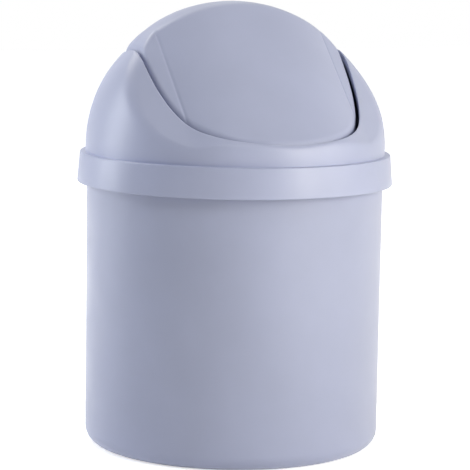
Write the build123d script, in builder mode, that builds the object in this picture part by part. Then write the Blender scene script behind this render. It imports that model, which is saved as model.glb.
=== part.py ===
"""Tabletop waste bin: an open tub, a hood that lifts off it, and a flap that swings both ways in the hood.

Millimetres. Z points up and the origin is the centre of the tub's base. The front is towards -Y, the
flap's axis runs along X. Left and right are alike, and the roof's ridge lies a little behind the middle.
"""
import os
from math import atan2, cos, degrees, radians, sin, tan

from build123d import *

os.makedirs("parts", exist_ok=True)

# Tub
tub_radius = 68.8            # outside, just under the rim
tub_height = 134.8           # to the top of the rim, where the hood seats
tub_taper = 0.2              # how much the radius narrows down to the base
tub_wall = 1.6
base_wall = 2.0
base_corner_radius = 7.2
foot_width = 9.0             # ring that the tub stands on, in from the wall
foot_recess = 1.2            # how far the middle of the base is lifted
rim_flange = 1.3             # how far the rolled rim stands out
rim_depth = 4.2
rim_edge_radius = 0.7

# Hood: skirt, ledge and dome in one moulding
hood_wall = 1.8
skirt_wall = 1.6
skirt_clearance = 0.4        # around the tub's rim
skirt_depth = 13.9
skirt_flare = 1.2
skirt_edge_radius = 0.6
ledge_edge_radius = 1.3
dome_overhang = 0.7          # dome's radius beyond the tub's
dome_straight = 2.8          # upright stretch between ledge and dome
dome_rise = 65.8
front_rim = 2.6              # hood left in front of the opening, in plan
ear_depth = 18.7             # ear's inner face in from the dome's radius
rim_round_radius = 7.0       # soft edge between dome and cut
rim_return = 4.0             # depth of the turned-in edge round the opening, measured upright
rim_return_wall = 1.6

# The two sloping cuts that shape hood and flap alike
ridge_setback = 4.9          # the ridge lies this far behind the middle
peak_rise = 9.2              # where the two slopes would meet, above the dome's top
front_lip_rise = 7.2         # height of the cut at the opening's front rim, above the dome's centre
arch_fall = 13.5             # from the middle of each face to its creases
arch_power = 2.8             # flatness of the arch between the creases: 2 is a parabola
cheek_width = 8.2            # flap's cheeks, outside the creases
cheek_slope = 30.0           # degrees

# Flap
outline_power = 2.4          # squareness of the flap's plan outline: 2 is an ellipse
flap_gap = 1.4               # between flap and hood, in plan
flap_wall = 1.6
flap_sink = 1.7              # flap's slopes under the hood's, measured upright
flap_stand = 1.0             # flap's crown above the dome's top
ridge_round_radius = 4.0     # soft edges between the crown and the slopes
lip_radius = 0.9             # rounded edge of the flap
crease_width = 1.0
crease_depth = 0.4
flap_return = 5.0            # depth of the turned-in edge, measured upright

# Pivot
pivot_drop = 4.5             # axis below the top of the hood's ears
pivot_forward = 0.2          # axis in front of the middle, straight over the flap's centre of mass
pin_radius = 1.5
pin_clearance = 0.05
pin_end_clearance = 0.3      # pin's tip short of the hole's end
pin_collar_width = 1.2       # collar's radius beyond the pin's
side_play = 0.5              # collar to the hood's lug
lug_radius = 6.5
lug_wall = 1.8

# Places that follow from the sizes above
rim_radius = tub_radius + rim_flange
skirt_radius = rim_radius + skirt_clearance + skirt_wall
ledge = tub_height + hood_wall
ledge_under = ledge - hood_wall
skirt_foot = ledge - skirt_depth
dome_radius = tub_radius + dome_overhang
dome_centre = ledge + dome_straight
opening_half_width = dome_radius - ear_depth
opening_half_depth = dome_radius - front_rim
flap_half_width = opening_half_width - flap_gap
flap_half_depth = opening_half_depth - flap_gap
crease_place = flap_half_width - cheek_width
peak = dome_centre + dome_rise + peak_rise
face_slope = degrees(atan2(dome_rise + peak_rise - front_lip_rise, opening_half_depth + ridge_setback))
slope_run = cos(radians(face_slope))
slope_drop = sin(radians(face_slope))
reach = 2 * skirt_radius     # longer than anything it cuts
upright = 0.001              # largest Z of an upright wall's unit normal


def dome_height(radius):
    """Height of the dome's outside at a radius."""
    return dome_centre + dome_rise * (1 - (radius / dome_radius) ** 2) ** 0.5


def outline_points(half_width, half_depth, count=48):
    """Points round a superellipse, evenly spread in its parameter."""
    points = []
    for i in range(count):
        turn = radians(360 * i / count)
        c, s = cos(turn), sin(turn)
        x = half_width * abs(c) ** (2 / outline_power) * (1 if c >= 0 else -1)
        y = half_depth * abs(s) ** (2 / outline_power) * (1 if s >= 0 else -1)
        points.append((x, y))
    return points


def top_edges(body):
    """The curved edges along the tops of a body's upright walls, above the dome's centre."""
    walls = body.faces().filter_by(lambda face: abs(face.normal_at().Z) < upright)
    return walls.edges().filter_by(GeomType.LINE, reverse=True).filter_by(
        lambda edge: edge.center().Z > dome_centre + dome_straight
    )


def prism(half_width, half_depth):
    """An upright prism on the flap's kind of outline, taller than the bin."""
    with BuildPart() as body:
        with BuildSketch(Plane.XY):
            with BuildLine():
                Spline(*outline_points(half_width, half_depth), periodic=True)
            make_face()
        extrude(amount=reach + ledge)
    return body.part


def arch_points(top, count=6, cheek_count=3):
    """Half of the arch that both faces follow: flattened in the middle, then straight down the cheeks."""
    points = [(0, top)]
    for i in range(1, count + 1):
        share = i / count
        points.append((crease_place * share, top - arch_fall * share ** arch_power))
    cheek = (dome_radius - crease_place) / cheek_count
    for i in range(1, cheek_count + 1):
        points.append((crease_place + cheek * i, top - arch_fall - cheek * i * tan(radians(cheek_slope))))
    return points


def below_slopes(sink=0.0):
    """Everything under the two sloping cuts: one arched section moved down each slope, front and back."""
    points = arch_points(peak - sink)
    fall = tan(radians(cheek_slope))
    end_x, end_z = points[-1]
    outer = end_z - (reach - end_x) * fall
    with BuildSketch(Plane.XZ.offset(-ridge_setback)) as section:
        with BuildLine():
            Spline(*[(-x, z) for x, z in reversed(points[1:])], *points, tangents=[(1, fall), (1, -fall)])
            for side in (-1, 1):
                Polyline((side * end_x, end_z), (side * reach, outer), (side * reach, -reach))
            Line((-reach, -reach), (reach, -reach))
        make_face()
    with BuildPart() as front_slab:
        extrude(section.sketch, amount=reach, dir=(0, -slope_run, -slope_drop), both=True)
    with BuildPart() as both_slabs:
        extrude(section.sketch, amount=reach, dir=(0, slope_run, -slope_drop), both=True)
        add(front_slab.part, mode=Mode.INTERSECT)
    return both_slabs.part


# Tub: one revolved wall with a rolled rim and a foot ring
base_radius = tub_radius - tub_taper
with BuildPart() as tub:
    with BuildSketch(Plane.XZ) as tub_section:
        with BuildLine():
            Polyline(
                (0, foot_recess),
                (base_radius - base_corner_radius - foot_width, foot_recess),
                (base_radius - base_corner_radius - foot_width + foot_recess, 0),
                (base_radius - base_corner_radius, 0),
            )
            base_bend = TangentArc(
                (base_radius - base_corner_radius, 0), (base_radius, base_corner_radius), tangent=(1, 0)
            )
            Polyline(
                base_bend @ 1,
                (tub_radius, tub_height - rim_depth),
                (rim_radius, tub_height - rim_depth),
                (rim_radius, tub_height),
                (tub_radius - tub_wall, tub_height),
                (base_radius - tub_wall, base_corner_radius),
            )
            TangentArc(
                (base_radius - tub_wall, base_corner_radius),
                (base_radius - base_corner_radius, base_wall),
                tangent=(0, -1),
            )
            Polyline(
                (base_radius - base_corner_radius, base_wall),
                (base_radius - base_corner_radius - foot_width + foot_recess, base_wall),
                (base_radius - base_corner_radius - foot_width, base_wall + foot_recess),
                (0, base_wall + foot_recess),
                (0, foot_recess),
            )
        make_face()
        fillet(tub_section.vertices().filter_by(lambda corner: corner.X > rim_radius - rim_edge_radius),
               rim_edge_radius)
    revolve(axis=Axis.Z)
tub.part.label = "tub"
export_step(tub.part, "parts/tub.step")

# Pivot: the axis lies a little under the ears' tops
pivot_height = dome_height(opening_half_width) - pivot_drop
pin_tip = opening_half_width + lug_wall - pin_end_clearance


def lug_block(inner, outer):
    """Two upright tongues, left and right, round-ended about the axis and open-topped."""
    with BuildPart() as body:
        for side in (-1, 1):
            with BuildSketch(Plane.YZ.offset(side * inner)):
                with Locations((-pivot_forward, pivot_height)):
                    Circle(lug_radius)
                    Rectangle(2 * lug_radius, reach, align=(Align.CENTER, Align.MIN))
            extrude(amount=side * (outer - inner))
    return body.part


def axle(radius, inner, outer):
    """Two round bars on the axis, left and right."""
    with BuildPart() as body:
        for side in (-1, 1):
            with BuildSketch(Plane.YZ.offset(side * inner)):
                with Locations((-pivot_forward, pivot_height)):
                    Circle(radius)
            extrude(amount=side * (outer - inner))
    return body.part


# Hood: dome, ledge and skirt, cut by the slopes with a soft edge, hollowed, and opened for the flap
def dome_solid(inset=0.0):
    """The dome under the slopes, solid inside, or the hollow that lies one wall in from it."""
    radius = dome_radius - inset
    rise = dome_rise - inset
    with BuildPart() as body:
        with BuildSketch(Plane.XZ):
            with BuildLine():
                Polyline((0, dome_centre + rise), (0, ledge_under), (radius, ledge_under), (radius, dome_centre))
                EllipticalCenterArc((0, dome_centre), radius, rise, arc_size=90)
            make_face()
        revolve(axis=Axis.Z)
        add(below_slopes(sink=inset / slope_run), mode=Mode.INTERSECT)
        cut_edges = body.edges().filter_by(GeomType.LINE, reverse=True).filter_by(
            lambda edge: edge.center().Z > dome_centre and abs(edge.center().Y) > hood_wall
        )
        fillet(cut_edges, rim_round_radius - inset)
    return body.part


with BuildPart() as opening_collar:
    add(prism(opening_half_width + rim_return_wall, opening_half_depth + rim_return_wall))
    add(below_slopes(sink=rim_return), mode=Mode.SUBTRACT)

with BuildPart() as hollow:
    add(dome_solid(hood_wall))
    add(opening_collar.part, mode=Mode.SUBTRACT)
    add(lug_block(opening_half_width - lug_wall, opening_half_width + lug_wall), mode=Mode.SUBTRACT)

with BuildPart() as hood:
    add(dome_solid())
    add(hollow.part, mode=Mode.SUBTRACT)
    with BuildSketch(Plane.XZ) as skirt_section:
        with BuildLine():
            Polyline(
                (dome_radius - hood_wall, ledge_under),
                (skirt_radius - skirt_wall, ledge_under),
                (skirt_radius - skirt_wall + skirt_flare, skirt_foot),
                (skirt_radius + skirt_flare, skirt_foot),
                (skirt_radius, ledge),
                (dome_radius - hood_wall, ledge),
                (dome_radius - hood_wall, ledge_under),
            )
        make_face()
        corners = skirt_section.vertices()
        fillet(corners.group_by(Axis.Y)[0], skirt_edge_radius)
        fillet(corners.group_by(Axis.Y)[-1].sort_by(Axis.X)[-1], ledge_edge_radius)
    revolve(axis=Axis.Z)
    add(prism(opening_half_width, opening_half_depth), mode=Mode.SUBTRACT)
    add(axle(pin_radius + pin_clearance, flap_half_width, opening_half_width + lug_wall), mode=Mode.SUBTRACT)
hood.part.label = "hood"
export_step(hood.part, "parts/hood.step")


# Flap: the same slopes under a crown that stands a little above the dome
def under_roof(inset=0.0, drop=0.0, count=6):
    """Everything under the flap's crown and slopes, no wider than the opening.

    The inset moves every surface in by a wall, and the drop moves all of it straight down.
    """
    radius = dome_radius - inset
    rise = dome_rise + flap_stand - inset
    side = opening_half_width - inset
    crown = []
    for i in range(-count, count + 1):
        x = side * i / count
        crown.append((x, dome_centre + rise * (1 - (x / radius) ** 2) ** 0.5 - drop))
    with BuildPart() as body:
        with BuildSketch(Plane.XZ.offset(-reach)):
            with BuildLine():
                Spline(*crown)
                Polyline(crown[0], (-side, ledge), (side, ledge), crown[-1])
            make_face()
        extrude(amount=2 * reach)
        add(below_slopes(sink=flap_sink + inset / slope_run + drop), mode=Mode.INTERSECT)
        borders = body.edges().filter_by(GeomType.LINE, reverse=True).filter_by(
            lambda edge: edge.center().Z > dome_centre and abs(edge.center().X) < crease_place
        )
        fillet(borders, ridge_round_radius - inset)
    return body.part


def flap_solid(inset=0.0):
    """The flap as if solid, or the hollow one wall in from it."""
    with BuildPart() as body:
        add(under_roof(inset))
        add(prism(flap_half_width - inset, flap_half_depth - inset), mode=Mode.INTERSECT)
    return body.part


def creases():
    """Shallow grooves down both faces, one at each end of the arch."""
    top = peak - flap_sink
    with BuildSketch(Plane.XZ.offset(-ridge_setback)) as section:
        for side in (-1, 1):
            with BuildLine():
                Polyline(
                    (side * crease_place, top - arch_fall - crease_depth),
                    (side * (crease_place - crease_width), top - arch_fall + crease_width),
                    (side * (crease_place + crease_width), top - arch_fall + crease_width),
                    close=True,
                )
            make_face()
    with BuildPart() as body:
        extrude(section.sketch, amount=reach, dir=(0, -slope_run, -slope_drop))
        extrude(section.sketch, amount=reach, dir=(0, slope_run, -slope_drop))
    return body.part


flap_lugs = lug_block(flap_half_width - lug_wall, flap_half_width)
with BuildPart() as under_flap:
    add(flap_solid(flap_wall))
    add(under_roof(drop=flap_return))
    add(flap_lugs, mode=Mode.SUBTRACT)

with BuildPart() as swing_flap:
    add(flap_solid())
    fillet(top_edges(swing_flap), lip_radius)
    add(creases(), mode=Mode.SUBTRACT)
    add(under_flap.part, mode=Mode.SUBTRACT)
    add(axle(pin_radius, flap_half_width - lug_wall, pin_tip))
    add(axle(pin_radius + pin_collar_width, flap_half_width - lug_wall, opening_half_width - side_play))
swing_flap.part.label = "swing_flap"
export_step(swing_flap.part, "parts/swing_flap.step")
print("the axis is at a height of", pivot_height)
print("the flap's centre of mass is below it by", pivot_height - swing_flap.part.center(CenterOf.MASS).Z)
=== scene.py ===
# %% [markdown]
# A small tabletop waste bin, in three plastic mouldings: a tub, a hood that sits on its rim, and a
# flap that swings in the hood. The measured solids come in as a fixed frame, and this lesson dresses
# them: first the camera and the light, then each moulding as one smooth closed surface, and last the
# satin plastic that all three are made of.

# %% Load the fixed frame
import math

import bmesh
import bpy
import numpy as np
from mathutils import Matrix, Vector


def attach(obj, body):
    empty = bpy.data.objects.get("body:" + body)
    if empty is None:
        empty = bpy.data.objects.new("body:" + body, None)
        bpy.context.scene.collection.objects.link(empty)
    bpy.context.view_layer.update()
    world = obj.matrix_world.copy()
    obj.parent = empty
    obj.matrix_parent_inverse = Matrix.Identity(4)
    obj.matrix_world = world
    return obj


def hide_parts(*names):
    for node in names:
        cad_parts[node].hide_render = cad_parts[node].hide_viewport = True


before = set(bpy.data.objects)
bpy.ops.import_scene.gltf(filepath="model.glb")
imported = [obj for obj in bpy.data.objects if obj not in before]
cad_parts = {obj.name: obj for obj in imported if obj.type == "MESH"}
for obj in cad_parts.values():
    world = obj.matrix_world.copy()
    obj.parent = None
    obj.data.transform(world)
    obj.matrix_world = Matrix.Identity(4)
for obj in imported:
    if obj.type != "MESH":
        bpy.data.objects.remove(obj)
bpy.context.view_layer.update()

MM = 0.001

# %% [markdown]
# The bin is seen from a metre away and a little from above, turned by 23 degrees. Such a view could be
# set by eye, but a long lens is easy to get wrong: a small error in height opens or closes every
# ellipse of the rim. So the camera's place, pitch, roll and focal length are given as numbers that were
# worked out from the outline and the skirt's two edges, and Blender is only told where to stand.

# %% Camera
VIEW_TURN = math.radians(23.2)      # how far round the bin the camera stands
VIEW_DISTANCE = 1066.2 * MM         # level, from the bin's axis
VIEW_HEIGHT = 243.9 * MM
VIEW_PITCH = math.radians(7.83)     # looking down
VIEW_ROLL = math.radians(0.93)
FRAME_PIXELS = 470
FOCAL_PIXELS = 2301.7
CENTRE_X_PIXELS = 233.8             # where the lens's axis meets the frame
CENTRE_Y_PIXELS = 235.2
SENSOR = 36.0                       # width in mm

camera_data = bpy.data.cameras.new("camera")
camera_data.sensor_width = SENSOR
camera_data.lens = FOCAL_PIXELS / FRAME_PIXELS * SENSOR
camera_data.shift_x = (FRAME_PIXELS / 2 - CENTRE_X_PIXELS) / FRAME_PIXELS
camera_data.shift_y = (CENTRE_Y_PIXELS - FRAME_PIXELS / 2) / FRAME_PIXELS
camera = bpy.data.objects.new("camera", camera_data)
bpy.context.scene.collection.objects.link(camera)
bpy.context.scene.camera = camera

level_forward = Vector((math.sin(VIEW_TURN), math.cos(VIEW_TURN), 0.0))
forward = level_forward * math.cos(VIEW_PITCH) - Vector((0.0, 0.0, math.sin(VIEW_PITCH)))
level_right = Vector((math.cos(VIEW_TURN), -math.sin(VIEW_TURN), 0.0))
level_up = level_right.cross(forward)
right = math.cos(VIEW_ROLL) * level_right + math.sin(VIEW_ROLL) * level_up
up = math.cos(VIEW_ROLL) * level_up - math.sin(VIEW_ROLL) * level_right
turn = Matrix((right, up, -forward)).transposed().to_4x4()
place = Vector((0.0, 0.0, VIEW_HEIGHT)) - level_forward * VIEW_DISTANCE
camera.matrix_world = Matrix.Translation(place) @ turn
print("lens, mm:", round(camera_data.lens, 1), "camera at, mm:", [round(v / MM) for v in place])

# %% [markdown]
# A product shot of plastic is lit by soft boxes, and their size sets how wide the bright bands on a
# round wall are. One large box alone would leave the left side black, so here a strong cool box stands
# far to the left and a little behind, which gives the bright left edge, two warm ones stand on the
# right for the broad bright side, and three above keep the dome and the flap even. Their powers were
# worked out together, so that the tub's wall fades from side to side as it should.

# %% Light
LAMP_DISTANCE = 1.0
LAMP_WIDTH = 0.4
LAMP_AIM = Vector((0.0, 0.0, 105 * MM))
COOL = (0.93, 0.965, 1.0)
WARM = (1.0, 0.965, 0.86)

scene = bpy.context.scene
scene.view_settings.view_transform = "Standard"


def soft_box(name, azimuth, elevation, height, power, tint):
    """A rectangular lamp aimed at the bin. Its azimuth counts from the camera's side, to the right."""
    turned_to = VIEW_TURN - math.radians(azimuth)
    rise = math.radians(elevation)
    level_back = Vector((-math.sin(turned_to), -math.cos(turned_to), 0.0))
    back = level_back * math.cos(rise) + Vector((0.0, 0.0, math.sin(rise)))
    lamp_data = bpy.data.lights.new(name, "AREA")
    lamp_data.shape = "RECTANGLE"
    lamp_data.size = LAMP_WIDTH
    lamp_data.size_y = height
    lamp_data.energy = power
    lamp_data.color = tint
    lamp = bpy.data.objects.new(name, lamp_data)
    lamp.location = LAMP_AIM + back * LAMP_DISTANCE
    lamp.rotation_mode = "QUATERNION"
    lamp.rotation_quaternion = (-back).to_track_quat("-Z", "Y")
    scene.collection.objects.link(lamp)


soft_box("left_edge_box", azimuth=-100, elevation=15, height=0.7, power=5.8, tint=COOL)
soft_box("left_back_top_box", azimuth=-130, elevation=50, height=0.4, power=3.0, tint=WARM)
soft_box("right_box", azimuth=50, elevation=15, height=0.7, power=5.8, tint=WARM)
soft_box("right_side_box", azimuth=75, elevation=15, height=0.7, power=3.0, tint=WARM)
soft_box("front_top_box", azimuth=0, elevation=55, height=0.4, power=2.35, tint=COOL)
soft_box("back_top_box", azimuth=180, elevation=55, height=0.4, power=1.0, tint=WARM)
total_power = sum(lamp.energy for lamp in bpy.data.lights)
print("lamps:", len(bpy.data.lights), "power, W:", round(total_power, 1))

# %% [markdown]
# The room is white to look at and in reflections, but sheds no light of its own, because light from
# all sides would wash out the shading that the lamps give. A white sheet could stand behind the bin
# instead, but from every other side it would be in the way. Light Path tells the kinds of ray apart.

# %% Pale room


def seen_rays(tree):
    """One for the camera's rays and for reflected and refracted ones, none for rays that only light."""
    rays = tree.nodes.new("ShaderNodeLightPath")
    total = rays.outputs["Is Camera Ray"]
    for kind in ("Is Glossy Ray", "Is Transmission Ray"):
        either = tree.nodes.new("ShaderNodeMath")
        either.operation = "MAXIMUM"
        tree.links.new(total, either.inputs[0])
        tree.links.new(rays.outputs[kind], either.inputs[1])
        total = either.outputs["Value"]
    return total


world = bpy.data.worlds.new("pale room")
scene.world = world
world.use_nodes = True
room = world.node_tree.nodes["Background"]
room.inputs["Color"].default_value = (1.0, 1.0, 1.0, 1.0)
world.node_tree.links.new(seen_rays(world.node_tree), room.inputs["Strength"])
print("nodes in the room's light:", len(world.node_tree.nodes))

# %% [markdown]
# The floor is a plain pale sheet. If it were only lit, it would turn grey with distance, and if it
# glowed, it would light the bin from below. So it glows for the camera and for reflections alone, and
# every other ray sees a plain pale floor. Close to the bin the glow is weaker, and the lamps fill it up
# to white, so that the bin's own shadow is kept where they don't reach.

# %% Floor
FLOOR_HALF = 3.0
GLOW_NEAR = 100 * MM         # distance from the bin's axis up to which the glow is weakest
GLOW_FAR = 400 * MM          # distance from which it is full
GLOW_WEAKEST = 0.62

floor_corners = [(FLOOR_HALF * x, FLOOR_HALF * y, 0.0) for x, y in ((-1, -1), (1, -1), (1, 1), (-1, 1))]
floor_mesh = bpy.data.meshes.new("floor")
floor_mesh.from_pydata(floor_corners, [], [(0, 1, 2, 3)])
floor = bpy.data.objects.new("floor", floor_mesh)
scene.collection.objects.link(floor)
print("floor, m:", 2 * FLOOR_HALF, "on a side")

# %% Floor: a glow that is only seen
floor_finish = bpy.data.materials.new("pale floor")
floor_finish.use_nodes = True
floor_nodes = floor_finish.node_tree.nodes
floor_links = floor_finish.node_tree.links
floor_shader = floor_nodes["Principled BSDF"]
floor_shader.inputs["Base Color"].default_value = (0.9, 0.9, 0.9, 1.0)
floor_shader.inputs["Roughness"].default_value = 0.8
floor_shader.inputs["Emission Color"].default_value = (1.0, 1.0, 1.0, 1.0)

floor_place = floor_nodes.new("ShaderNodeTexCoord")
floor_distance = floor_nodes.new("ShaderNodeVectorMath")
floor_distance.operation = "LENGTH"
floor_links.new(floor_place.outputs["Object"], floor_distance.inputs[0])
floor_glow = floor_nodes.new("ShaderNodeMapRange")
floor_glow.inputs["From Min"].default_value = GLOW_NEAR
floor_glow.inputs["From Max"].default_value = GLOW_FAR
floor_glow.inputs["To Min"].default_value = GLOW_WEAKEST
floor_glow.inputs["To Max"].default_value = 1.0
floor_links.new(floor_distance.outputs["Value"], floor_glow.inputs["Value"])
floor_seen = floor_nodes.new("ShaderNodeMath")
floor_seen.operation = "MULTIPLY"
floor_links.new(floor_glow.outputs["Result"], floor_seen.inputs[0])
floor_links.new(seen_rays(floor_finish.node_tree), floor_seen.inputs[1])
floor_links.new(floor_seen.outputs["Value"], floor_shader.inputs["Emission Strength"])
floor_mesh.materials.append(floor_finish)
print("glow close to the bin:", GLOW_WEAKEST)

# %% [markdown]
# Every moulding is made the same way. A surface is a grid of points, worked out by a formula from two
# numbers, and several grids that share their edges close up into one skin with a real wall thickness.
# Modelling by hand would also do, but a formula keeps the flap and the hood on exactly the same slopes,
# so the flap lies in the hood at an even depth.

# %% From grids to a closed mesh
SEAM = 0.002        # points nearer than this, in mm, are one point


def grid_faces(rows, columns):
    """Four corners of each cell of a grid of points that is stored row by row."""
    corner = np.arange(rows * columns).reshape(rows, columns)
    cells = np.stack([corner[:-1, :-1], corner[1:, :-1], corner[1:, 1:], corner[:-1, 1:]], axis=-1)
    return cells.reshape(-1, 4)


print("cells in a grid of 3 by 4 points:", len(grid_faces(3, 4)))


def closed_piece(name, grids, node, body):
    """One piece from grids of points in mm: shared edges and poles merged, and faces pointing outwards."""
    points = []
    faces = []
    count = 0
    for grid in grids:
        rows, columns, _ = grid.shape
        points.append(grid.reshape(-1, 3))
        faces.append(grid_faces(rows, columns) + count)
        count += rows * columns
    mesh = bpy.data.meshes.new(name)
    mesh.from_pydata(np.concatenate(points) * MM, [], np.concatenate(faces).tolist())
    work = bmesh.new()
    work.from_mesh(mesh)
    bmesh.ops.remove_doubles(work, verts=work.verts, dist=SEAM * MM)
    bmesh.ops.dissolve_degenerate(work, edges=work.edges, dist=SEAM * MM / 2)
    bmesh.ops.recalc_face_normals(work, faces=work.faces)
    open_edges = sum(not edge.is_manifold for edge in work.edges)
    volume = work.calc_volume(signed=True) / MM ** 3
    work.to_mesh(mesh)
    work.free()
    mesh.shade_smooth()
    piece = bpy.data.objects.new(name, mesh)
    scene.collection.objects.link(piece)
    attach(piece, body)
    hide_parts(node)
    print(name, "faces:", len(mesh.polygons), "open edges:", open_edges, "volume, mm3:", round(volume))
    return piece


# %% [markdown]
# Moulded plastic has no sharp corner, and each of its corners has a radius of its own. A Bevel modifier
# gives all of them one width, so here a profile is a short list of corners, each with its radius, and
# the arcs are worked out. A round moulding is such a profile carried round the upright axis.

# %% Profiles with rounded corners
CORNER_STEPS = 6
TURN_STEPS = 288


def rounded_profile(corners):
    """A run of straight lines whose corners are arcs.

    Each corner is (across, up, radius). An arc touches both of its lines, so it starts a distance of
    radius times the tangent of half the turn before the corner, and ends as far after it.
    """
    spots = np.array([corner[:2] for corner in corners], float)
    radii = [corner[2] for corner in corners[1:-1]]
    profile = [spots[:1]]
    for before, here, after, radius in zip(spots[:-2], spots[1:-1], spots[2:], radii):
        come = (here - before) / np.linalg.norm(here - before)
        leave = (after - here) / np.linalg.norm(after - here)
        bend = math.atan2(come[0] * leave[1] - come[1] * leave[0], come @ leave)
        reach = radius * math.tan(abs(bend) / 2)
        side = np.array([-come[1], come[0]]) * math.copysign(1.0, bend)
        centre = here - come * reach + side * radius
        swing = np.linspace(0, bend, CORNER_STEPS + 1)[:, None]
        spoke = -side * radius
        profile.append(centre + spoke * np.cos(swing) + np.array([-spoke[1], spoke[0]]) * np.sin(swing))
    profile.append(spots[-1:])
    return np.concatenate(profile)


def turned(profile):
    """A profile of (radius, height) carried round: x and y are radius times cos and sin of the angle."""
    angle = np.linspace(0, 2 * math.pi, TURN_STEPS + 1)
    radius, height = profile[:, :1], profile[:, 1:]
    return np.stack([radius * np.cos(angle), radius * np.sin(angle), height + 0 * angle], axis=-1)


print("points of one rounded corner:", len(rounded_profile([(0, 0, 0), (1, 0, 0.2), (1, 1, 0)])) - 2)

# %% [markdown]
# The tub is a plain bucket: a nearly upright wall, a generous round corner at the base, a foot ring that
# keeps the middle of the base off the table, and a rolled rim that the hood's skirt hides. A lathe makes
# such a shape in metal, and Blender's Screw modifier would do it here. One closed profile carried round
# the axis gives the same surface with full control of every corner's radius.

# %% Tub
TUB_RADIUS = 68.8            # at the top of the wall
TUB_HEIGHT = 134.8
BASE_RADIUS = 68.6
BASE_CORNER = 7.2
TUB_WALL = 1.6
BASE_WALL = 2.0
RIM_RADIUS = 70.1
RIM_DEPTH = 4.2
FOOT_INSIDE = 52.4
FOOT_HEIGHT = 1.2            # the foot's inner side slants by 45 degrees, so it is as wide as high

tub_profile = rounded_profile([
    (0, FOOT_HEIGHT, 0),
    (FOOT_INSIDE, FOOT_HEIGHT, 0.8),
    (FOOT_INSIDE + FOOT_HEIGHT, 0, 0.8),
    (BASE_RADIUS, 0, BASE_CORNER),
    (TUB_RADIUS, TUB_HEIGHT - RIM_DEPTH, 0.3),
    (RIM_RADIUS, TUB_HEIGHT - RIM_DEPTH, 0.7),
    (RIM_RADIUS, TUB_HEIGHT, 0.7),
    (TUB_RADIUS - TUB_WALL, TUB_HEIGHT, 0.5),
    (BASE_RADIUS - TUB_WALL, BASE_WALL, BASE_CORNER - TUB_WALL),
    (FOOT_INSIDE + FOOT_HEIGHT, BASE_WALL, 0.6),
    (FOOT_INSIDE, BASE_WALL + FOOT_HEIGHT, 0.6),
    (0, BASE_WALL + FOOT_HEIGHT, 0),
])
tub = closed_piece("tub_moulding", [turned(tub_profile)], node="tub", body="tub_body")

# %% [markdown]
# The flap and the hood share one form: a dome, cut by two slopes that meet in a ridge a little behind the
# middle. Across each slope runs a flattened arch that ends in a straight cheek. Where two forms meet, a
# plain minimum of their heights gives a knife edge, and a Bevel modifier would need a clean edge to work
# on. A smooth minimum rounds the meeting instead, over a width that is chosen here.

# %% The form that hood and flap share
DOME_RADIUS = 69.5
DOME_CENTRE = 139.4          # height
DOME_RISE = 65.8
RIDGE_BACK = 4.9             # the ridge lies this far behind the middle
RIDGE_TOP = 214.4            # where the two slopes would meet
SLOPE = 67.8 / 71.8
CREASE = 41.2                # half the arch's width
ARCH_FALL = 13.5
ARCH_POWER = 2.8
CHEEK_SLOPE = math.tan(math.radians(30))


def smooth_min(one, other, width):
    """The lower of two heights, and lower still where they differ by less than the width.

    What the difference lacks of the width, squared and over four widths, is taken off.
    """
    near = np.clip(width - np.abs(one - other), 0, None)
    return np.minimum(one, other) - near ** 2 / (4 * width)


def arch(x):
    """Fall of the arch: a power of x up to the crease, then a straight cheek."""
    across = np.abs(x)
    inside = np.minimum(across, CREASE)
    return ARCH_FALL * (inside / CREASE) ** ARCH_POWER + CHEEK_SLOPE * np.clip(across - CREASE, 0, None)


def slopes(y, fall):
    """Height of the two slopes: the ridge's top, less the fall, less the slope times the way from it."""
    return RIDGE_TOP - fall - SLOPE * np.abs(y - RIDGE_BACK)


def dome(r, inset=0.0):
    """Height of the dome at a radius: a quarter of an ellipse, or one that is a wall further in."""
    share = np.clip(r / (DOME_RADIUS - inset), 0, 1)
    return DOME_CENTRE + (DOME_RISE - inset) * np.sqrt(1 - share ** 2)


print("top of the hood's dome, mm:", round(float(dome(0.0)), 1))

# %% [markdown]
# Seen from above, the opening and the flap are ovals between an ellipse and a rectangle. Ellipse arcs
# joined to straight lines would show where they meet. A superellipse is one smooth curve, and a power a
# little over 2 fills its corners out as far as they should be.

# %% The oval that both share, and its edge
OUTLINE_POWER = 2.4          # 2 would be an ellipse


def superellipse_radius(angle, half_width, half_depth):
    """Radius of a superellipse at an angle: one over the power mean of its cosine and sine shares."""
    p = OUTLINE_POWER
    return (np.abs(np.cos(angle) / half_width) ** p + np.abs(np.sin(angle) / half_depth) ** p) ** (-1 / p)


def rim_distance(x, y, half_width, half_depth):
    """Distance from a superellipse, positive inside: one minus its formula, over how steep that is."""
    p = OUTLINE_POWER
    a = np.abs(x) / half_width
    b = np.abs(y) / half_depth
    value = (a ** p + b ** p) ** (1 / p)
    steepness = np.hypot((a / value) ** (p - 1) / half_width, (b / value) ** (p - 1) / half_depth)
    return (1 - value) / steepness


def edge_drop(distance, width, depth):
    """How far a rounded edge has dropped: a quarter of an ellipse over its width, nothing further in."""
    share = np.clip(1 - distance / width, 0, 1)
    return depth * (1 - np.sqrt(1 - share ** 2))


half_right = math.pi / 4
print("the oval at 45 degrees, where a circle is 1:", round(superellipse_radius(half_right, 1, 1), 3))

# %% [markdown]
# The hood is one moulding: a skirt that grips the tub's rim, a narrow ledge, and the dome with its two
# cuts and the opening for the flap. Two ears are left standing at the sides, and they carry the pins. A
# boolean cut would leave long thin triangles along the soft edge. Here every point round the bin has its
# own closed profile instead, from the opening's edge over the outside, under the skirt and back inside,
# and the profiles side by side make a ring.

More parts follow.
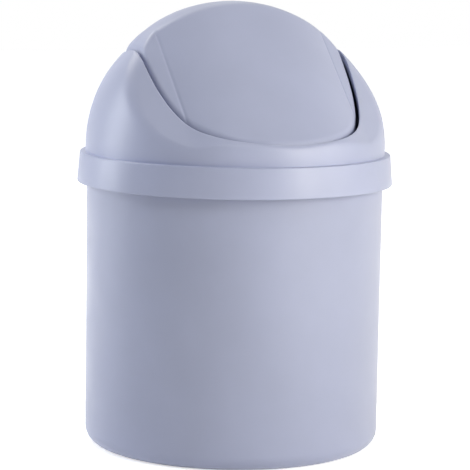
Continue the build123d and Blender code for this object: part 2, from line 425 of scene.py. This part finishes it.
# %% Hood: heights of its outside and inside
HOOD_WALL = 1.8
OPENING_WIDE = 50.8          # half of the opening's width
OPENING_DEEP = 67.1
HOOD_EDGE = 0.8              # radius of the opening's edge
SOFT_EDGE = 6.0              # width of the soft meeting of dome and slopes
SOFT_CREASE = 1.2            # width of the soft meeting of arch and cheek: the hood has no crease
CHEEK_START = 0.7 * CREASE   # the cheek only counts beyond this


def soft_arch(x):
    """The arch without its crease: the smooth minimum of the power curve and the straight cheek."""
    across = np.abs(x)
    curve = ARCH_FALL * (across / CREASE) ** ARCH_POWER
    cheek = ARCH_FALL + CHEEK_SLOPE * (across - CREASE)
    cheek = np.where(across > CHEEK_START, cheek, curve + SOFT_CREASE)
    return smooth_min(curve, cheek, SOFT_CREASE)


def hood_outside(x, y):
    """Height of the hood's outside: the lower of slopes and dome, rounded where the opening ends it."""
    height = smooth_min(slopes(y, soft_arch(x)), dome(np.hypot(x, y)), SOFT_EDGE)
    return height - edge_drop(-rim_distance(x, y, OPENING_WIDE, OPENING_DEEP), HOOD_EDGE, HOOD_EDGE)


def hood_inside(x, y):
    """Height of the hood's inside: the same form, one wall in."""
    wall_upright = HOOD_WALL * math.hypot(1, SLOPE)
    return smooth_min(slopes(y, soft_arch(x)) - wall_upright, dome(np.hypot(x, y), HOOD_WALL), SOFT_EDGE)


print("wall of the slopes, measured upright, mm:", round(HOOD_WALL * math.hypot(1, SLOPE), 2))

# %% Hood: outside, from the opening's edge to the dome's foot
AROUND_STEPS = 720
EDGE_ROWS = 8
EDGE_REACH = 1.5             # the edge's rows reach this many of its radii outwards
DOME_ROWS = 40

around = np.linspace(0, 2 * math.pi, AROUND_STEPS + 1)[:, None]
rim = superellipse_radius(around, OPENING_WIDE, OPENING_DEEP)
rolled = rim + EDGE_REACH * HOOD_EDGE * (1 - np.cos(np.linspace(0, math.pi / 2, EDGE_ROWS + 1)))
spread = np.linspace(0, math.pi / 2, DOME_ROWS + 1)[1:]
outer = rolled[:, -1:] + (DOME_RADIUS - rolled[:, -1:]) * np.sin(spread)
outside_radius = np.concatenate([rolled, outer], axis=1)
outside_height = hood_outside(outside_radius * np.cos(around), outside_radius * np.sin(around))
print("ear's top, mm:", round(float(outside_height[0, EDGE_ROWS]), 1))

# %% [markdown]
# The skirt steps out over the tub's rim and widens a little downwards, so that it lets go of the mould.
# It could be a ring of its own, but the real one is part of the hood, and a seam would show from above.
# So its profile carries on from the dome's foot, the same at every angle.

# %% Hood: ledge and skirt
LEDGE_HEIGHT = 136.6
LEDGE_RADIUS = 72.1
SKIRT_FOOT = 122.7           # height
SKIRT_RADIUS = 73.28         # at its foot
SKIRT_INSIDE = 71.7          # at its foot
SEAT_RADIUS = 70.5           # the hood sits on the tub's rim inside this
THROAT_RADIUS = DOME_RADIUS - HOOD_WALL
DOME_FOOT = DOME_CENTRE - 0.5

skirt_profile = rounded_profile([
    (DOME_RADIUS, DOME_FOOT, 0),
    (DOME_RADIUS, LEDGE_HEIGHT, 0.15),
    (LEDGE_RADIUS, LEDGE_HEIGHT, 0.6),
    (SKIRT_RADIUS, SKIRT_FOOT, 0.45),
    (SKIRT_INSIDE, SKIRT_FOOT, 0.6),
    (SEAT_RADIUS, TUB_HEIGHT, 0.3),
    (THROAT_RADIUS, TUB_HEIGHT, 0.3),
    (THROAT_RADIUS, DOME_FOOT, 0),
])
flank = np.broadcast_to(skirt_profile, (len(around), *skirt_profile.shape))
print("points in the skirt's profile:", len(skirt_profile))

# %% [markdown]
# Inside, the hood follows its outside one wall further in, and its edge turns down round the opening,
# which stiffens it. At the two ears this edge hangs lower, in a round lug for the flap's pin. A Solidify
# modifier would give the wall, but not the lugs, so the inside is worked out as well.

# %% Hood: inside, turned-in edge and lugs
RETURN_DEPTH = 4.0           # of the turned-in edge
RETURN_WALL = 1.6
RETURN_ROWS = 5
INSIDE_ROWS = 30
THROAT_GAP = 0.02            # least room between the turned-in edge's back and the throat
JUST_OUTSIDE = 1.0001        # the rim's height is read this much further out, clear of rounding errors
PIN_HEIGHT = 179.805
PIN_FORWARD = 0.2
LUG_RADIUS = 6.5
EAR_COSINE = 0.8             # the ears lie where the angle's cosine is above this


def tongue_bottom(y, height):
    """Lower end of the lug round a pin: a half circle round the axis, and the given height beside it."""
    from_axis = np.abs(y + PIN_FORWARD)
    round_end = PIN_HEIGHT - np.sqrt(np.clip(LUG_RADIUS ** 2 - from_axis ** 2, 0, None))
    return np.where(from_axis < LUG_RADIUS, np.minimum(height, round_end), height)


back_wall = superellipse_radius(around, OPENING_WIDE + RETURN_WALL, OPENING_DEEP + RETURN_WALL)
back_wall = np.minimum(back_wall, THROAT_RADIUS - THROAT_GAP)
inward = np.sin(np.linspace(math.pi / 2, 0, INSIDE_ROWS + 1))
inside_radius = back_wall + (THROAT_RADIUS - back_wall) * inward
inside_height = hood_inside(inside_radius * np.cos(around), inside_radius * np.sin(around))

beside_rim = rim * JUST_OUTSIDE
rim_top = hood_outside(beside_rim * np.cos(around), beside_rim * np.sin(around)) + HOOD_EDGE
low_edge = rim_top - RETURN_DEPTH
at_ears = np.abs(np.cos(around)) > EAR_COSINE
low_edge = np.where(at_ears, tongue_bottom(rim * np.sin(around), low_edge), low_edge)
down = np.linspace(0, 1, RETURN_ROWS + 1)
back_drop = inside_height[:, -1:] + (low_edge - inside_height[:, -1:]) * down[1:]
front_climb = low_edge + (outside_height[:, :1] - low_edge) * down[:-1]
print("lug's lowest point, mm:", round(float(low_edge[0, 0]), 1))

# %% Hood: one ring of closed profiles
hood_radius = np.concatenate([
    outside_radius,
    flank[..., 0],
    inside_radius,
    back_wall + 0 * back_drop,
    rim + 0 * front_climb,
    rim,
], axis=1)
hood_height = np.concatenate([
    outside_height,
    flank[..., 1],
    inside_height,
    back_drop,
    front_climb,
    outside_height[:, :1],
], axis=1)
hood_grid = np.stack([hood_radius * np.cos(around), hood_radius * np.sin(around), hood_height], axis=-1)
hood = closed_piece("hood_moulding", [hood_grid], node="hood", body="hood_body")

# %% [markdown]
# The flap is a roof: a crown, two creased slopes and a turned-in edge, with a stub pin at each side. It
# could be cut from the hood's form by a boolean, but its own edge is rolled over and its crown stands
# proud, so its height is worked out anew from the slopes that it shares with the hood. A groove as fine
# as a hair marks each crease, and it and the rolled edge are what catches the light.

# %% Flap: heights
FLAP_WIDE = 49.4             # half of the flap's width
FLAP_DEEP = 65.1
FLAP_WALL = 1.6
FLAP_SINK = 1.7              # its slopes lie this much under the hood's
CROWN_RISE = 66.8
CROWN_BEND = 0.010           # fall of the crown to front and back, per mm squared
RIDGE_SOFT = 1.3             # width of the soft meeting of crown and slopes
SHOULDER_START = 42.0        # beyond this the crown falls to the ear's own height
SHOULDER_FALL = 2.0
GROOVE_DEPTH = 0.34
GROOVE_WIDTH = 1.0


def groove(x):
    """Depth of the crease's groove: a cosine hump across the crease, nothing elsewhere."""
    share = np.clip(np.abs(np.abs(x) - CREASE) / GROOVE_WIDTH, 0, 1)
    return GROOVE_DEPTH * (1 + np.cos(math.pi * share)) / 2


def crown_height(x, y, inset):
    """Height of the crown: an ellipse across, less a parabola along, less the fall of the shoulders."""
    share = np.clip(np.abs(x) / (DOME_RADIUS - inset), 0, 1)
    crown = DOME_CENTRE + (CROWN_RISE - inset) * np.sqrt(1 - share ** 2)
    crown = crown - CROWN_BEND * (y - RIDGE_BACK) ** 2
    shoulder = np.clip((np.abs(x) - SHOULDER_START) / (FLAP_WIDE - SHOULDER_START), 0, 1)
    return crown - SHOULDER_FALL * shoulder ** 2


def flap_height(x, y, inset=0.0):
    """Height of the flap's skin: the lower of crown and slopes, or the same form one wall in."""
    faces = slopes(y, arch(x)) - FLAP_SINK - inset * math.hypot(1, SLOPE)
    if inset == 0:
        faces = faces - groove(x)
    return smooth_min(faces, crown_height(x, y, inset), RIDGE_SOFT)


print("flap's highest point, mm:", round(float(flap_height(0.0, RIDGE_BACK)), 1))

# %% [markdown]
# The creases have to stay crisp, and a plain grid would cross them at a slant and make a saw of them. So
# the skin is laid out in three fields whose borders run along the creases: a middle field, and a narrow
# cheek on either side. Points crowd along the creases and along the rolled edge, and are wide apart on
# the open faces.

# %% Flap: places of the points
LIP = 1.5                    # width of the rolled edge
LIP_DROP = 2.6
EDGE_ZONE = 3.6              # width of the belt of crowded rows along the edge
CREASE_ZONE = 2.4            # width of the belt of crowded columns along a crease
CREASE_STEPS = np.array([0.0, 0.2, 0.4, 0.6, 0.8, 1.0, 1.3, 1.8])
CHEEK_STEPS = np.array([0, 0.024, 0.048, 0.072, 0.096, 0.122])
CHEEK_OPEN = 0.16            # share of the cheek's width where its wide columns begin
CHEEK_BELT = 0.65            # share of it where its crowded belt begins
OPEN_COLUMNS = 80
OPEN_ROWS = 171
BELT_ROWS = 14
CHEEK_COLUMNS = 10

open_columns = np.linspace(CREASE_ZONE - CREASE, CREASE - CREASE_ZONE, OPEN_COLUMNS)
columns = np.concatenate([CREASE_STEPS - CREASE, open_columns, CREASE - CREASE_STEPS[::-1]])
even = np.linspace(-1, 1, OPEN_ROWS)
crowded = np.sin(np.linspace(0, math.pi / 2, BELT_ROWS + 1))[1:]
cheek_share = np.concatenate([
    CHEEK_STEPS,
    np.linspace(CHEEK_OPEN, CHEEK_BELT, CHEEK_COLUMNS),
    CHEEK_BELT + (1 - CHEEK_BELT) * crowded,
])


def outline_reach(along, half_along, half_across):
    """How far a superellipse reaches out at a place along it: its formula, solved for the other way."""
    share = np.clip(np.abs(along) / half_along, 0, 1)
    return half_across * (1 - share ** OUTLINE_POWER) ** (1 / OUTLINE_POWER)


def middle_field(half_width, half_depth):
    """Places between the creases: columns across, and on each column rows that crowd towards both ends."""
    depth = outline_reach(columns, half_width, half_depth)[:, None]
    inner = depth - EDGE_ZONE
    end = inner + EDGE_ZONE * crowded
    y = np.concatenate([-end[:, ::-1], inner * even, end], axis=1)
    return np.broadcast_to(columns[:, None], y.shape), y


def cheek_field(y_rows, half_width, half_depth, side):
    """Places outside a crease: one row for each row that ends there, from the crease to the outline."""
    limit = np.maximum(outline_reach(y_rows, half_depth, half_width), CREASE)[:, None]
    x = CREASE + (limit - CREASE) * cheek_share
    return side * x, np.broadcast_to(y_rows[:, None], x.shape)


print("columns:", len(columns), "rows:", len(even) + 2 * len(crowded), "cheek columns:", len(cheek_share))

# %% Flap: outer and inner skin


def flap_skin(half_width, half_depth, inset):
    """The three fields of one skin as grids, and the border loop that runs round all three."""
    x, y = middle_field(half_width, half_depth)
    fields = [(x, y)]
    fields.append(cheek_field(y[-1], half_width, half_depth, 1))
    fields.append(cheek_field(y[0], half_width, half_depth, -1))
    grids = []
    for x, y in fields:
        z = flap_height(x, y, inset)
        if inset == 0:
            z = z - edge_drop(rim_distance(x, y, half_width, half_depth), LIP, LIP_DROP)
        grids.append(np.stack([x, y, z], axis=-1))
    middle, right_cheek, left_cheek = grids
    loop = np.concatenate([middle[:, 0], right_cheek[:, -1], middle[::-1, -1], left_cheek[::-1, -1]])
    return grids, np.concatenate([loop, loop[:1]])


outer_grids, outer_loop = flap_skin(FLAP_WIDE, FLAP_DEEP, 0.0)
inner_grids, inner_loop = flap_skin(FLAP_WIDE - FLAP_WALL, FLAP_DEEP - FLAP_WALL, FLAP_WALL)
print("points on the flap's border:", len(outer_loop))

# %% [markdown]
# A thin sheet would look like paper where the gap shows its side, so the flap's edge turns down by some
# millimetres all round, and lower still at the pins. The band is hung from the border loops of both
# skins, and a strip closes it underneath. Extruding the border would give the band, but a level one.

# %% Flap: turned-in edge
FLAP_RETURN = 5.0
BAND_ROWS = 7


def upright_band(loop, bottom):
    """A wall that hangs from a loop of points: heights run evenly from the loop to each point's bottom."""
    share = np.linspace(0, 1, BAND_ROWS)[:, None]
    band = np.repeat(loop[None], BAND_ROWS, axis=0)
    band[..., 2] = loop[:, 2] + (bottom - loop[:, 2]) * share
    return band


loop_x, loop_y, _ = outer_loop.T
edge_bottom = flap_height(loop_x, loop_y) - FLAP_RETURN
edge_bottom = np.where(np.abs(loop_x) > CREASE, tongue_bottom(loop_y, edge_bottom), edge_bottom)
outer_band = upright_band(outer_loop, edge_bottom)
inner_band = upright_band(inner_loop, edge_bottom)
under_edge = np.stack([outer_band[-1], inner_band[-1]])
print("edge's lowest point, mm:", round(float(edge_bottom.min()), 1))

# %% Flap: two stub pins, each with a collar
COLLAR_RADIUS = 2.7
COLLAR_START = 48.0          # distance from the middle, inside the flap's edge
COLLAR_END = 50.3
PIN_RADIUS = 1.5
PIN_END = 52.3
PIN_STEPS = 48

pin_profile = rounded_profile([
    (0, COLLAR_START, 0),
    (COLLAR_RADIUS, COLLAR_START, 0.1),
    (COLLAR_RADIUS, COLLAR_END, 0.2),
    (PIN_RADIUS, COLLAR_END, 0.1),
    (PIN_RADIUS, PIN_END, 0.3),
    (0, PIN_END, 0),
])
pin_angle = np.linspace(0, 2 * math.pi, PIN_STEPS + 1)
radius, along = pin_profile[:, :1], pin_profile[:, 1:]
pin_y = radius * np.cos(pin_angle) - PIN_FORWARD
pin_z = radius * np.sin(pin_angle) + PIN_HEIGHT
pins = [np.stack([side * along + 0 * pin_angle, pin_y, pin_z], axis=-1) for side in (-1, 1)]
flap_grids = [*outer_grids, outer_band, under_edge, inner_band, *inner_grids, *pins]
flap = closed_piece("flap_moulding", flap_grids, node="swing_flap", body="flap_body")

# %% [markdown]
# All three mouldings are the same satin polypropylene in a pale lavender grey. A single flat colour
# would look like paint, so three faint things vary over the surface: the tint, as pigment does in a
# moulding, the gloss, where it has been handled and wiped, and the height, as the fine grain of the
# mould. Each comes from a noise in the object's own coordinates, so it stays on the piece as it moves.

# %% Plastic
PLASTIC = (0.400, 0.431, 0.602)      # red, green and blue, linear
WEAK_MIRROR = 0.4            # the mould's fine grain leaves less mirror than the usual half
NOISE_LOW = 0.3              # a noise rarely leaves this range
NOISE_HIGH = 0.7
CLOUD_SCALE = 28             # a noise's features are about a metre over its scale wide
GLOSS_SCALE = 60
GRAIN_SCALE = 2600
GRAIN_HEIGHT = 0.02 * MM
GRAIN_STRENGTH = 0.12


def satin_plastic(name, roughness, seed, tone):
    """Principled plastic with faint clouds in tint and gloss, and a fine mould grain as bump."""
    material = bpy.data.materials.new(name)
    material.use_nodes = True
    nodes = material.node_tree.nodes
    links = material.node_tree.links
    shader = nodes["Principled BSDF"]
    shader.inputs["Specular IOR Level"].default_value = WEAK_MIRROR
    place_on = nodes.new("ShaderNodeTexCoord")
    shifted = nodes.new("ShaderNodeMapping")
    shifted.inputs["Location"].default_value = (seed, seed * 0.7, seed * 0.4)
    links.new(place_on.outputs["Object"], shifted.inputs["Vector"])

    def noise(scale, detail):
        """A noise that stays on the piece, with as many octaves as its detail."""
        texture = nodes.new("ShaderNodeTexNoise")
        texture.inputs["Scale"].default_value = scale
        texture.inputs["Detail"].default_value = detail
        links.new(shifted.outputs["Vector"], texture.inputs["Vector"])
        return texture.outputs["Fac"]

    clouds = nodes.new("ShaderNodeValToRGB")
    for element, position, shade in zip(clouds.color_ramp.elements, (NOISE_LOW, NOISE_HIGH), (0.97, 1.03)):
        element.position = position
        element.color = (*[shade * tone * v for v in PLASTIC], 1.0)
    links.new(noise(CLOUD_SCALE, 3), clouds.inputs["Fac"])
    links.new(clouds.outputs["Color"], shader.inputs["Base Color"])

    gloss = nodes.new("ShaderNodeMapRange")
    gloss.inputs["From Min"].default_value = NOISE_LOW
    gloss.inputs["From Max"].default_value = NOISE_HIGH
    gloss.inputs["To Min"].default_value = roughness - 0.03
    gloss.inputs["To Max"].default_value = roughness + 0.04
    links.new(noise(GLOSS_SCALE, 4), gloss.inputs["Value"])
    links.new(gloss.outputs["Result"], shader.inputs["Roughness"])

    grain = nodes.new("ShaderNodeBump")
    grain.inputs["Strength"].default_value = GRAIN_STRENGTH
    grain.inputs["Distance"].default_value = GRAIN_HEIGHT
    links.new(noise(GRAIN_SCALE, 2), grain.inputs["Height"])
    links.new(grain.outputs["Normal"], shader.inputs["Normal"])
    return material


# %% [markdown]
# The three differ a little in tone and gloss: the hood is the palest and the tub the darkest, and the
#  flap is the least glossy. One material for all would make them look cut from one block.
# The solids under them get the tub's plastic too, so that nothing is left bare.

# %% Plastic on the pieces and on the solids
finishes = (
    (tub, "tub plastic", 0.37, 1.0, 0.945),
    (hood, "hood plastic", 0.35, 2.3, 1.035),
    (flap, "flap plastic", 0.40, 3.1, 1.02),
)
for piece, name, roughness, seed, tone in finishes:
    piece.data.materials.append(satin_plastic(name, roughness, seed, tone))
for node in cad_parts.values():
    node.data.materials.clear()
    node.data.materials.append(tub.data.materials[0])
print("plastics:", ", ".join(piece.data.materials[0].name for piece in (tub, hood, flap)))
